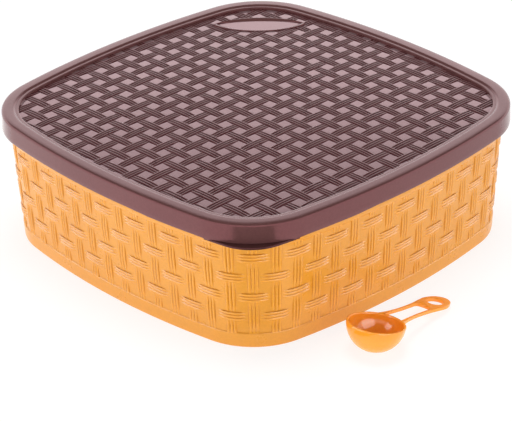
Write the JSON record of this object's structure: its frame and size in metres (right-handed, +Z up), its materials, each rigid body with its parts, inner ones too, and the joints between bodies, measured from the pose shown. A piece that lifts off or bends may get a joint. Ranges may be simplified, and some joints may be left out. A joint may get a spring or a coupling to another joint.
{
  "type": "spice box",
  "caption": "Square spice box with a woven-look tray and lift-off lid, round cups inside and a measuring spoon beside it.",
  "frame": {"origin": "centre of the tray's underside, on the surface the box stands on", "axes": "+Z up, the sides of the box along X and Y, the lid's thumb tab at the corner towards +X and -Y, the spoon lying beside the box on the +X side"},
  "size_m": [0.2398, 0.2074, 0.0682],
  "materials": {
    "tray_plastic": "moulded orange plastic, satin gloss",
    "lid_plastic": "moulded mauve-brown plastic, satin gloss",
    "cup_plastic": "moulded natural plastic, slightly milky",
    "spoon_plastic": "moulded orange plastic, glossy"
  },
  "bodies": {
    "tray": {"box_body": "tray_plastic"},
    "lid": {"lid": "lid_plastic"},
    "cup_front_left": {"cup_front_left": "cup_plastic"},
    "cup_front_centre": {"cup_front_centre": "cup_plastic"},
    "cup_front_right": {"cup_front_right": "cup_plastic"},
    "cup_middle_left": {"cup_middle_left": "cup_plastic"},
    "cup_middle_centre": {"cup_middle_centre": "cup_plastic"},
    "cup_middle_right": {"cup_middle_right": "cup_plastic"},
    "cup_back_left": {"cup_back_left": "cup_plastic"},
    "cup_back_centre": {"cup_back_centre": "cup_plastic"},
    "cup_back_right": {"cup_back_right": "cup_plastic"},
    "spoon": {"spoon": "spoon_plastic"}
  },
  "joints": [
    {"name": "lid_lift", "type": "slide", "parent": "tray", "child": "lid", "axis": [0, 0, 1], "range_m": [0, 0.28]},
    {"name": "cup_front_left_lift", "type": "slide", "parent": "tray", "child": "cup_front_left", "axis": [0, 0, 1], "range_m": [0, 0.07]},
    {"name": "cup_front_centre_lift", "type": "slide", "parent": "tray", "child": "cup_front_centre", "axis": [0, 0, 1], "range_m": [0, 0.07]},
    {"name": "cup_front_right_lift", "type": "slide", "parent": "tray", "child": "cup_front_right", "axis": [0, 0, 1], "range_m": [0, 0.07]},
    {"name": "cup_middle_left_lift", "type": "slide", "parent": "tray", "child": "cup_middle_left", "axis": [0, 0, 1], "range_m": [0, 0.105]},
    {"name": "cup_middle_centre_lift", "type": "slide", "parent": "tray", "child": "cup_middle_centre", "axis": [0, 0, 1], "range_m": [0, 0.105]},
    {"name": "cup_middle_right_lift", "type": "slide", "parent": "tray", "child": "cup_middle_right", "axis": [0, 0, 1], "range_m": [0, 0.105]},
    {"name": "cup_back_left_lift", "type": "slide", "parent": "tray", "child": "cup_back_left", "axis": [0, 0, 1], "range_m": [0, 0.14]},
    {"name": "cup_back_centre_lift", "type": "slide", "parent": "tray", "child": "cup_back_centre", "axis": [0, 0, 1], "range_m": [0, 0.14]},
    {"name": "cup_back_right_lift", "type": "slide", "parent": "tray", "child": "cup_back_right", "axis": [0, 0, 1], "range_m": [0, 0.14]},
    {"name": "spoon_lift", "type": "slide", "parent": "tray", "child": "spoon", "axis": [0, 0, 1], "range_m": [0, 0.08]}
  ],
  "couplings": [
    {"joint": "cup_front_left_lift", "follows": "lid_lift", "ratio": 0.25},
    {"joint": "cup_front_centre_lift", "follows": "lid_lift", "ratio": 0.25},
    {"joint": "cup_front_right_lift", "follows": "lid_lift", "ratio": 0.25},
    {"joint": "cup_middle_left_lift", "follows": "lid_lift", "ratio": 0.375},
    {"joint": "cup_middle_centre_lift", "follows": "lid_lift", "ratio": 0.375},
    {"joint": "cup_middle_right_lift", "follows": "lid_lift", "ratio": 0.375},
    {"joint": "cup_back_left_lift", "follows": "lid_lift", "ratio": 0.5},
    {"joint": "cup_back_centre_lift", "follows": "lid_lift", "ratio": 0.5},
    {"joint": "cup_back_right_lift", "follows": "lid_lift", "ratio": 0.5}
  ]
}
